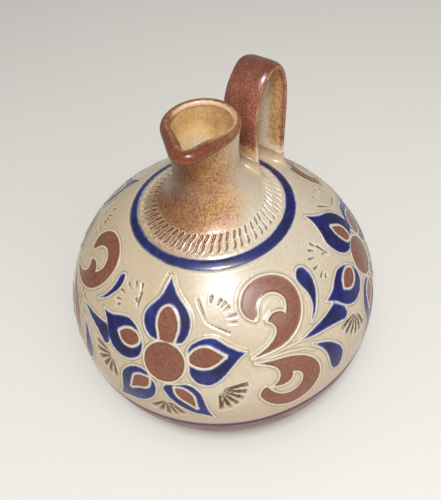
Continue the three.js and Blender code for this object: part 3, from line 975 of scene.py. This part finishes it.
# Cream at the bottom, partly a painted pool of light falling into the neck, honey-coloured higher up and
# amber under the lip
def insideGlaze():
    t = Glaze("honey glaze inside", ior=1.46)
    sway = t.times(t.minus(t.use(driftTree, scale=60.0), 0.5), 0.008)
    height = t.plus(t.parts(t.spot())[2], sway)
    t.colour = t.blend(t.ramp(height, 0.157, 0.169), "cream", "honey")
    amber = t.mottled("amber", "slip", "honey", spots=0.35, flecks=0.45, fine=1.6)
    t.lay(amber, t.ramp(height, 0.165, 0.176), 0.9)
    t.colour = t.mottled(t.colour, "amber", "cream", spots=0.25, flecks=0.25, fine=1.3)
    return t.done(0.2, t.use(peelTree, scale=500.0, depth=0.05, grit=0.2))


# Unglazed clay with the lines of the cutting wire
def bareClay():
    t = Glaze("bare stoneware")
    t.colour = t.blend(t.use(driftTree, scale=45.0), "bare", "bareDark")
    t.lay("umberDeep", t.use(speckleTree, scale=800.0, cover=0.4, soft=0.1), 0.5)
    sway = t.times(t.noise(30.0), 0.03)
    wire = t.calc("SINE", t.times(t.plus(t.parts(t.spot())[1], sway), 2600.0))
    return t.done(0.8, t.plus(t.times(wire, 0.05), t.use(peelTree, scale=1100.0, depth=0.12, grit=0.9)))


skinFinish, belowFinish = bodyGlaze(), wineGlaze()
rimFinish = rustGlaze("rust glaze of the rim", "rim", "rimFleck", "peach", 0.85, 0.4)
strapFinish = rustGlaze("rust glaze of the strap", "rust", "rustFleck", "dove", 0.9, 0.9)
insideFinish, bareFinish = insideGlaze(), bareClay()
print("finishes made")


def placePiece(thing, node, finish=None):
    if finish:
        thing.data.materials.append(finish)
    thing.name = node + "_glazed"
    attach(thing, "root")
    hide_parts(node)
    print(node, "made,", sum(len(face.vertices) - 2 for face in thing.data.polygons), "triangles")


# Faces on the inside get the second finish, and faces under the painted line the third
def splitFinish(mesh):
    mesh.materials.append(insideFinish)
    mesh.materials.append(belowFinish)
    arc, outside = getValues(mesh, "arc"), getValues(mesh, "outside") > 0.5
    corners = getIndices(mesh.loops, "vertex_index")
    starts = getIndices(mesh.polygons, "loop_start")
    onSkin = np.logical_or.reduceat(outside[corners], starts)
    below = np.maximum.reduceat(arc[corners], starts) < bands["lineArc"]
    chosen = np.where(onSkin, np.where(below, 2, 0), 1)
    mesh.polygons.foreach_set("material_index", chosen.astype(np.int32))


def turnShell(rows, columns, finish):
    rows = np.concatenate([rows, rows[:1]])
    mesh = bpy.data.meshes.new("profile")
    mesh.from_pydata([(radius * mm, 0, height * mm) for radius, height in rows[:, :2]], [], [])
    for column, name in enumerate(profileFields, start=2):
        setValues(mesh, name, rows[:, column])
    return runTree(newThing("profile", mesh), shellTree, {
        "Columns": columns, "Rows": len(rows), "Finish": finish})


# Each mark has a fine tail, a wide head and a width. Tail and head are azimuth and arc length.
def pressMarks(thing, marks, shape):
    tails, heads = np.array([mark[0] for mark in marks]), np.array([mark[1] for mark in marks])
    widths = np.array([mark[2] for mark in marks], float)
    middle = (tails + heads) / 2
    start, centre, end = [skinPoints(*spots.T, beadHeight(spots[:, 1]))
                          for spots in (tails, middle, heads)]
    length = np.linalg.norm(end - start, axis=1)
    mesh = bpy.data.meshes.new("marks")
    mesh.from_pydata((centre * mm).tolist(), [], [])
    carried = {
        "wayUp": skinNormals(*middle.T),
        "wayAlong": (end - start) / length[:, None],
        "size": np.stack([length, widths, np.ones_like(widths)], 1) * mm,
    }
    for name, values in carried.items():
        setValues(mesh, name, values, "FLOAT_VECTOR")
    points = newThing("marks", mesh)
    before = getValues(thing.data, "markGap")
    runTree(thing, markTree, {"Marks": points, "Depth": shape["depth"] * mm, "Slope": shape["slope"] * mm,
                              "Lip": shape["lip"] * mm, "Tail": shape["tailWidth"], "Finish": skinFinish})
    bpy.data.objects.remove(points)
    setValues(thing.data, "markGap", np.minimum(before, getValues(thing.data, "markGap")))


stamps = {"depth": 0.5, "slope": 0.7, "lip": 0.16, "tailWidth": 0.15}


def fanMarks():
    marks = []
    for place in layout["flowers"]:
        size, turn, lean = place["size"], math.radians(place["turn"]), math.radians(place["lean"])
        for fan in fans:
            apex = np.array(fan["apex"]) + (place["slide"] if fan["slides"] else (0, 0))
            for ray, near, far in zip(*np.broadcast_arrays(fan["turns"], fan["near"], fan["far"])):
                ends = []
                for reach in (near, far):
                    across = (apex[0] + reach * math.cos(math.radians(ray))) * size
                    up = (apex[1] + reach * math.sin(math.radians(ray))) * size
                    arc = flower["height"] + across * math.sin(lean) + up * math.cos(lean)
                    sideways = across * math.cos(lean) - up * math.sin(lean)
                    ends.append((turn + sideways / radiusAt(arc), arc))
                marks.append((*ends, fan["width"] * size))
    return marks


# Each notch is a row of strokes: arc and sideways shift of tail and head in millimetres, and its width
notches = {
    "count": 54,
    "strokes": [
        {"tail": (98.0, -0.7), "head": (101.6, 1.1), "width": 0.6},
        {"tail": (96.9, -0.8), "head": (94.2, -1.5), "width": 0.45},
        {"tail": (94.3, -1.5), "head": (92.4, -3.0), "width": 0.7},
    ],
    "depth": 0.6,
    "slope": 0.62,
    "lip": 0.2,
    "tailWidth": 0.45,
    # How far the hand strays: share of the spacing, millimetres up and down, share of the width
    "stray": (-0.1, 0.1),
    "slide": (-0.2, 0.25),
    "swell": (0.85, 1.15),
}


def notchMarks():
    marks = []
    for i in range(notches["count"]):
        turn = (i + rng.uniform(*notches["stray"])) / notches["count"] * 2 * math.pi
        slide = rng.uniform(*notches["slide"])
        for stroke in notches["strokes"]:
            ends = [(turn + shift / radiusAt(arc), arc + slide)
                    for arc, shift in [stroke["tail"], stroke["head"]]]
            marks.append((*ends, stroke["width"] * rng.uniform(*notches["swell"])))
    return marks


fanPress, notchPress = (fanMarks(), stamps), (notchMarks(), notches)


# Draws the ornament on a piece's outer skin: raises the outlines and stores what the glaze reads
def decorate(mesh, arc, azimuth, skin):
    count, azimuth, arc = len(arc), azimuth[skin], arc[skin]
    art = Ornament(azimuth, arc)
    stored = {
        "cobalt": (-farAway, art.cobalt),
        "umber": (-farAway, art.umber),
        "stem": (farAway, art.stem),
        "ring": (-farAway, ringField(azimuth, arc)),
        "slip": (0.0, slipCover(azimuth, arc)),
        "burnAndShade": (0.0, burnAndShadeOf(azimuth, arc)),
        "markGap": (farAway, farAway),
    }
    for name, (elsewhere, onSkin) in stored.items():
        values = np.full(count, elsewhere)
        values[skin] = onSkin
        setValues(mesh, name, values)
    normals = np.zeros((count, 3))
    normals[skin] = skinNormals(azimuth, arc)
    setValues(mesh, "skinNormal", normals, "FLOAT_VECTOR")
    points = getPoints(mesh)
    points[skin] += normals[skin] * reliefHeight(art, arc)[:, None]
    mesh.vertices.foreach_set("co", (points * mm).astype(np.float32).ravel())
    mesh.update()


def finishSkin(thing, arc, azimuth, presses, node):
    decorate(thing.data, arc, azimuth, getValues(thing.data, "outside") > 0.5)
    for marks, shape in presses:
        pressMarks(thing, marks, shape)
    splitFinish(thing.data)
    shadeSmooth(thing.data)
    placePiece(thing, node)


def turnBody(outer, inner, presses, node):
    thing = turnShell(np.concatenate([outer, inner]), fineness["bodyColumns"], skinFinish)
    x, y, _ = getPoints(thing.data).T
    finishSkin(thing, getValues(thing.data, "arc"), np.arctan2(y, x), presses, node)


def makeBase():
    top, rounding = body["baseThickness"], body["footRounding"]
    edge = outerRows(stepsThrough([arcAt(rounding), arcAt(top)], [fineness["baseRow"]]))
    flat = body["footRadius"] - rounding - body["skinInset"]
    bottom = plainRows(np.linspace(0, flat, fineness["innerRows"])[:-1], 0, corners=False)
    rows = np.concatenate([bottom, plainRows([flat], 0), edge, plainRows([0], top, corners=False)])
    thing = turnShell(rows, fineness["baseColumns"], bareFinish)
    shadeSmooth(thing.data)
    placePiece(thing, "base_disc")


def makeBowl():
    low, fine = arcAt(body["baseThickness"]), fineness["bodyRow"]
    outer = outerRows(stepsThrough([low, fineness["plainArc"], bands["lineArc"], 0.0],
                                   [fineness["plainRow"], fine, fine]))
    heights = stepsThrough([body["bellyHeight"], body["baseThickness"]], [fineness["innerRow"]])
    inner = plainRows(innerLower(heights), heights)
    inner[[0, -1], 2] = [0.0, low]
    turnBody(outer, inner, [fanPress], "lower_bowl")


def makeDome():
    outer = outerRows(stepsThrough([0.0, arcOfCollar], [fineness["bodyRow"]]))
    wide = body["bellyRadius"] - body["wall"]
    radii = wide * np.cos(np.linspace(0, math.acos(seatRadius / wide), fineness["innerRows"]))[::-1]
    inner = plainRows([seatRadius, *radii], [body["seamHeight"], *innerUpper(radii)])
    inner[1, 4] = 1
    inner[[0, -1], 2] = [arcOfCollar, 0.0]
    turnBody(outer, inner, [fanPress, notchPress], "shoulder_dome")


# Radius of the mouth's outline: a circle with a smaller one drawn out of it, and tangents between them
def outlineRadius(angle, radius, lip, reach):
    angle, radius, lip, reach = np.broadcast_arrays(abs(angle), radius, lip, reach)
    out = np.array(radius, float)
    drawn = reach > radius - lip
    sideTurn = np.arccos(np.clip((radius - lip) / np.maximum(reach, 1e-9), -1, 1))
    tipTurn = np.arctan2(lip * np.sin(sideTurn), reach + lip * np.cos(sideTurn))
    side = drawn & (angle < sideTurn)
    out[side] = (radius / np.cos(sideTurn - angle))[side]
    tip = side & (angle <= tipTurn)
    across = np.sqrt(np.maximum(lip ** 2 - (reach * np.sin(angle)) ** 2, 0))
    out[tip] = (reach * np.cos(angle) + across)[tip]
    return out


lipAngles = np.linspace(-math.pi, math.pi, fineness["neckColumns"], endpoint=False)
lipAngles = lipAngles - mouth["crowding"] * np.sin(lipAngles)
neckTurns = lipAngles + math.radians(mouth["lipTurn"])
rollRadius = mix(mouth["backRoll"], mouth["lipRoll"], ((1 + np.cos(lipAngles)) / 2) ** mouth["rollSwell"])
neckTop = mouth["rimHeight"] - np.sqrt(rollRadius ** 2 - (mouth["rimWall"] / 2) ** 2)


def ringOf(out, height):
    return np.stack(np.broadcast_arrays(out * np.cos(neckTurns), out * np.sin(neckTurns), height), -1)


# A ring of the neck on its outer or inner side. The pull is 0 at the flare and 1 under the rim.
def pulledRing(pull, side):
    draw = pull ** mouth["lipPull"]
    half = side * mix(body["neckWall"], mouth["rimWall"], pull) / 2
    if side > 0:
        half -= body["skinInset"] * (1 - pull)
    radius = mix(body["neckRadius"] - body["neckWall"] / 2, mouth["rimRadius"] - rollRadius, draw)
    lip = np.minimum(mouth["lipRadius"] - rollRadius, radius)
    out = outlineRadius(lipAngles, radius + half, lip + half, mix(radius - lip, mouth["lipReach"], draw))
    return ringOf(out, mix(flareTop - (0 if side > 0 else body["wall"]), neckTop, pull))


def makeCollar():
    arcs = stepsThrough([arcOfCollar, bands["notchTop"], arcOfFlareTop],
                        [fineness["notchRow"], fineness["neckRow"]])
    pulls = np.linspace(0, 1, int(mouth["pullHeight"] / fineness["neckRow"]) + 1)[1:]
    outer = [skinPoints(neckTurns, np.full_like(neckTurns, arc)) for arc in arcs]
    outer += [pulledRing(pull, 1) for pull in pulls]
    inner = [pulledRing(pull, -1) for pull in np.linspace(1, 0, fineness["boreRows"] + 1)[:-1]]
    seam, wall = body["seamHeight"], body["wall"]
    flare = flareCurve(np.linspace(1, 0, fineness["innerRows"]), (seatRadius, seam),
                       (body["neckRadius"] - body["neckWall"], flareTop - wall), seam + wall)
    inner += [ringOf(radius, height) for radius, height in zip(*flare)]
    rings = np.stack(outer + inner)
    thing = loftThing("neck", rings)
    climb = np.full(len(rings), offSkin)
    climb[:len(outer)] = np.concatenate([arcs, arcOfFlareTop + pulls * mouth["pullHeight"]])
    skin = climb > offSkin
    climb[-1] = arcOfCollar
    corner = np.zeros(len(rings))
    corner[[0, len(outer) - 1, len(outer), -1]] = 1
    for name, values in [("arc", climb), ("outside", skin), ("corner", corner)]:
        setValues(thing.data, name, np.repeat(values, len(neckTurns)))
    thing.data.materials.append(skinFinish)
    finishSkin(thing, np.repeat(climb, len(neckTurns)), np.tile(neckTurns, len(rings)), [notchPress],
               "neck_collar")


# Where the rim's glaze is thin and where a highlight is painted: inside the roll, most of all at the back,
# along its crest and at one side. The pale back and crest are partly thin glaze and partly painted
# highlight, and the pale side is painted highlight. Places on the roll run from 0 outside to 1 inside.
rimWearAndSheen = {
    "back": (0.2, -0.7),
    "side": (0.3, 0.95),
    "sideShare": 0.3,
    "inner": (0.45, 0.75),
    "innerLeast": 0.3,
    "crest": 0.34,
    "crestAt": 0.56,
    "crestWidth": 0.26,
}


def makeRim():
    rings, wearAndSheen = [], []
    back = mix(rimWearAndSheen["innerLeast"], 1, smooth(*rimWearAndSheen["back"], np.cos(lipAngles)))
    sideHighlight = rimWearAndSheen["sideShare"] * smooth(*rimWearAndSheen["side"], np.sin(lipAngles))
    flat = np.arccos(mouth["rimWall"] / 2 / rollRadius)
    for share in np.linspace(0, 1, fineness["rollSteps"] + 1):
        turn = -flat + (math.pi + 2 * flat) * share
        offset = rollRadius * np.cos(turn) - rollRadius
        out = outlineRadius(lipAngles, mouth["rimRadius"] + offset, mouth["lipRadius"] + offset,
                            mouth["lipReach"])
        rings.append(ringOf(out, mouth["rimHeight"] + rollRadius * np.sin(turn)))
        crest = rimWearAndSheen["crest"] * bump(share - rimWearAndSheen["crestAt"], rimWearAndSheen["crestWidth"])
        wearAndSheen.append(np.maximum(smooth(*rimWearAndSheen["inner"], share) * back, crest + sideHighlight))
    thing = loftThing("rim", np.stack(rings))
    corner = np.zeros((len(rings), len(neckTurns)))
    corner[[0, -1]] = 1
    setValues(thing.data, "corner", corner)
    setValues(thing.data, "wearAndSheen", wearAndSheen)
    shadeSmooth(thing.data)
    placePiece(thing, "rim_roll", rimFinish)


strap = {
    "width": 23.6,
    "endWidth": 21.4,
    "taper": 0.4,          # share of the strap's length over which it narrows
    "thickness": 6.2,
    "trim": 0.2,           # keeps the glazed strap inside the solid
    "edge": 0.85,
    "standOff": 10.1,
    "spread": 23.5,
    "crownRise": 6,
    "route": [(0.06, 0.33), (0.13, 0.63), (0.36, 0.85), (0.78, 0.99), (1.1, 0.94), (1.25, 0.78),
              (1.26, 0.54), (1.17, 0.21)],
    "groove": 0.45,        # depth of the thumb's channel along the outside
    "grooveAt": 0.05,
    "grooveWidth": 1.5,
    "outer": (0.05, 0.6),
}
# Where the strap's glaze is thin: on its inside, less so to one side, along its edges and at its roots. The
# pale edges are partly painted highlight.
strapWearAndSheen = {
    "inner": (0.15, 0.6),
    "farSide": (0.25, -0.45, 0.55),
    "farEdge": (-0.7, -0.95, 0.6),
    "edgeAt": 0.97,
    "edgeWidth": 0.1,
    "edgeShare": 0.3,
    "upperRoot": (0.19, 0.1),
    "lowerRoot": (0.84, 0.92),
    "rootShare": 0.65,
}
upperRoot = body["neckRadius"] + strap["standOff"]
lowerRoot = upperRoot + strap["spread"]


# The strap's middle line, as evenly spaced points with their directions
def strapLine():
    low, crown = overRadius(upperRoot, profileHeight), mouth["rimHeight"] + strap["crownRise"]
    knots = [(upperRoot, low - body["wall"])]
    knots += [(upperRoot + out * strap["spread"], mix(low, crown, rise)) for out, rise in strap["route"]]
    knots = np.array(knots + [(lowerRoot, overRadius(lowerRoot, profileHeight) - body["wall"])])
    knots = np.concatenate([[2 * knots[0] - knots[1]], knots, [2 * knots[-1] - knots[-2]]])
    line = []
    share = np.linspace(0, 1, fineness["strapCurve"], endpoint=False)[:, None]
    for a, b, c, d in zip(knots, knots[1:], knots[2:], knots[3:]):
        before, here, after = [math.sqrt(np.linalg.norm(q - p)) for p, q in [(a, b), (b, c), (c, d)]]
        first = ((b - a) / before - (c - a) / (before + here) + (c - b) / here) * here
        last = ((c - b) / here - (d - b) / (here + after) + (d - c) / after) * here
        line.append(b + first * share + (3 * (c - b) - 2 * first - last) * share ** 2
                    + (2 * (b - c) + first + last) * share ** 3)
    line = np.concatenate(line + [knots[-2:-1]])
    length = np.concatenate([[0], np.cumsum(np.hypot(*np.diff(line, axis=0).T))])
    even = np.linspace(0, length[-1], fineness["strapSteps"] + 1)
    spots = np.stack([np.interp(even, length, line[:, 0]), np.interp(even, length, line[:, 1])], 1)
    ways = np.gradient(spots, axis=0)
    return spots, ways / np.linalg.norm(ways, axis=1)[:, None]


# The strap's rounded section: the turn round it, and the places across and through it from -1 to 1
def strapSection(count):
    turn = np.linspace(0, 2 * math.pi, count, endpoint=False)
    return turn, np.sign(np.sin(turn)) * abs(np.sin(turn)) ** strap["edge"], np.cos(turn)


strapSpots, strapWays = strapLine()


def makeStrap():
    share = np.linspace(0, 1, fineness["strapSteps"] + 1)[:, None]
    _, side, thin = strapSection(fineness["strapSides"])
    narrowing = np.minimum(share / strap["taper"], 1)
    width = mix(strap["width"], strap["endWidth"], narrowing) - 2 * strap["trim"]
    channel = smooth(*strap["outer"], -thin) * bump(side - strap["grooveAt"], strap["grooveWidth"])
    thick = thin * (strap["thickness"] - strap["trim"]) / 2 + strap["groove"] * channel
    x = strapSpots[:, :1] + strapWays[:, 1:] * thick
    z = strapSpots[:, 1:] - strapWays[:, :1] * thick
    thing = loftThing("strap", np.stack([x, side * width / 2, z], -1), capped=True)
    inner = smooth(*strapWearAndSheen["inner"], thin)
    for low, high, amount in [strapWearAndSheen["farSide"], strapWearAndSheen["farEdge"]]:
        inner = inner * (1 - amount * smooth(low, high, side))
    edge = strapWearAndSheen["edgeShare"] * bump(abs(side) - strapWearAndSheen["edgeAt"], strapWearAndSheen["edgeWidth"])
    roots = np.maximum(smooth(*strapWearAndSheen["upperRoot"], share), smooth(*strapWearAndSheen["lowerRoot"], share))
    wearAndSheen = np.clip(np.maximum(inner, edge) + strapWearAndSheen["rootShare"] * roots, 0, 1)
    setValues(thing.data, "wearAndSheen", wearAndSheen)
    setValues(thing.data, "corner", np.zeros(wearAndSheen.size))
    thing.data.shade_smooth()
    placePiece(thing, "handle_strap", strapFinish)


luting = {
    "reach": 4.6,
    "height": 8.5,
    "waves": [(0.12, 3, 0.7), (0.08, 5, 2)],    # share of the reach, count round the root and phase
    "skirt": (1.05, -0.5),                      # the lowest ring, just under the skin
    "tuck": -1.2,                               # how far the top turns in under the strap's surface
    "tuckRises": (8.2, -1.5),
    "legPoints": 60,
    "slipRise": (2, 9),
    "slipShare": 0.4,
}


# Clay smoothed round a root: it leaves the skin level and runs up onto the strap
def makeLuting(node, root, width, leg):
    turn, side, thin = strapSection(fineness["lutingSides"])
    foot = overRadius(root, profileHeight)
    legX, legZ = strapSpots[leg][np.argsort(strapSpots[leg, 1])].T

    def ring(spread, rise):
        x = np.interp(foot + rise, legZ, legX) + thin * (strap["thickness"] / 2 + spread)
        y = side * (width / 2 + spread)
        ground = overRadius(np.hypot(x, y), profileHeight) - body["skinInset"]
        return np.stack([x, y, ground + rise], -1)

    wave = 1 + sum(share * np.sin(count * turn + phase) for share, count, phase in luting["waves"])
    wider, sunk = luting["skirt"]
    rings = [ring(luting["reach"] * wave * wider, sunk)]
    for u in np.linspace(0, 1, fineness["lutingSteps"] + 1):
        rings.append(ring(luting["reach"] * wave * (1 - u) ** 2, luting["height"] * u ** 2))
    rings += [ring(luting["tuck"], rise) for rise in luting["tuckRises"]]
    thing = loftThing(node, np.stack(rings))
    x, y, z = getPoints(thing.data).T
    arc = overRadius(np.hypot(x, y), profileArc)
    climb = smooth(*luting["slipRise"], np.clip(z - heightAt(arc), 0, None))
    slip = np.clip(slipCover(np.arctan2(y, x), arc) + climb * luting["slipShare"], 0, 1)
    fields = {"arc": arc, "slip": slip, "cobalt": -farAway, "umber": -farAway, "ring": -farAway,
              "stem": farAway, "markGap": farAway, "corner": 0, "burnAndShade": 1}
    for name, values in fields.items():
        setValues(thing.data, name, np.broadcast_to(values, len(arc)))
    thing.data.shade_smooth()
    placePiece(thing, node, skinFinish)


makeBase()
makeBowl()
makeDome()
makeCollar()
makeRim()
makeStrap()
legPoints = luting["legPoints"]
makeLuting("upper_root_luting", upperRoot, strap["width"], slice(0, legPoints))
makeLuting("lower_root_luting", lowerRoot, strap["endWidth"], slice(-legPoints, None))


# Floor, light and camera
studio = {
    "floorHalf": 6.0,
    "floorGrain": 0.1,
    "sky": (1.0, 0.985, 0.96, 1.0),
    "daylight": 0.24,
    "backdrop": 0.46,
    "aimHeight": 0.1,
    "lamps": {
        "softbox": {"turn": 222, "rise": 62, "away": 1.2, "size": 0.24, "power": 7.5},
        "halo": {"turn": 222, "rise": 62, "away": 1.25, "size": 0.85, "power": 5.8},
        "fill": {"turn": 250, "rise": 40, "away": 1.5, "size": 1.1, "power": 4.8},
    },
}


def makeFloor():
    half = studio["floorHalf"]
    mesh = bpy.data.meshes.new("floor")
    mesh.from_pydata([(-half, -half, 0), (half, -half, 0), (half, half, 0), (-half, half, 0)], [],
                     [(0, 1, 2, 3)])
    t = Glaze("pale floor")
    t.colour = t.blend(t.times(t.noise(9.0, detail=4.0), studio["floorGrain"]), "floor", "floorGrain")
    mesh.materials.append(t.done(0.7))
    newThing("floor", mesh)


def makeLight():
    for name, plan in studio["lamps"].items():
        turn, rise = math.radians(plan["turn"]), math.radians(plan["rise"])
        way = Vector((math.cos(turn) * math.cos(rise), math.sin(turn) * math.cos(rise), math.sin(rise)))
        lamp = bpy.data.lights.new(name, "AREA")
        lamp.shape, lamp.size, lamp.energy = "DISK", plan["size"], plan["power"]
        held = newThing(name, lamp)
        held.location = way * plan["away"] + Vector((0, 0, studio["aimHeight"]))
        held.rotation_euler = way.to_track_quat("Z", "Y").to_euler()
    world = bpy.data.worlds.new("studio")
    bpy.context.scene.world = world
    world.use_nodes = True
    t = Builder(world.node_tree)
    path = t.put("ShaderNodeLightPath")
    seen = t.larger(t.larger(path["Is Camera Ray"], path["Is Glossy Ray"]), path["Is Transmission Ray"])
    level = t.put("ShaderNodeMapRange", {
        "Value": seen, "To Min": studio["daylight"], "To Max": studio["backdrop"]})[0]
    background = t.tree.nodes["Background"].inputs
    t.join(studio["sky"], background["Color"])
    t.join(level, background["Strength"])


# The photo's viewpoint. The spot is in units, from the point of the jug's axis at the centre's height.
view = {
    "focal": 650,          # in pixels of the 441 by 500 frame
    "rise": 0.8457,
    "roll": -0.1349,
    "turn": 47.1,
    "spot": (0.0156, -2.7552, 3.4352),
    "unit": 90,
    "centreHeight": 65,
    "frameHeight": 500,
    "sensor": 36,
}


def makeCamera():
    rise, roll, turn = view["rise"], view["roll"], math.radians(view["turn"])
    right, up = Vector((1, 0, 0)), Vector((0, math.sin(rise), math.cos(rise)))
    ahead = Vector((0, math.cos(rise), -math.sin(rise)))
    tilted = right * math.cos(roll) + up * math.sin(roll)
    upright = up * math.cos(roll) - right * math.sin(roll)
    spin = Matrix.Rotation(-turn, 3, "Z")
    place = spin @ (Vector(view["spot"]) * view["unit"]) + Vector((0, 0, view["centreHeight"]))
    facing = Matrix([spin @ tilted, spin @ upright, spin @ -ahead]).transposed().to_4x4()
    lens = bpy.data.cameras.new("camera")
    lens.sensor_fit, lens.sensor_height = "VERTICAL", view["sensor"]
    lens.lens = view["focal"] / view["frameHeight"] * view["sensor"]
    lens.clip_start = 0.01
    held = newThing("camera", lens)
    held.matrix_world = Matrix.Translation(place * mm) @ facing
    bpy.context.scene.camera = held


makeFloor()
makeLight()
makeCamera()
bpy.context.scene.view_settings.view_transform = "Standard"
print("stage, light and camera made")
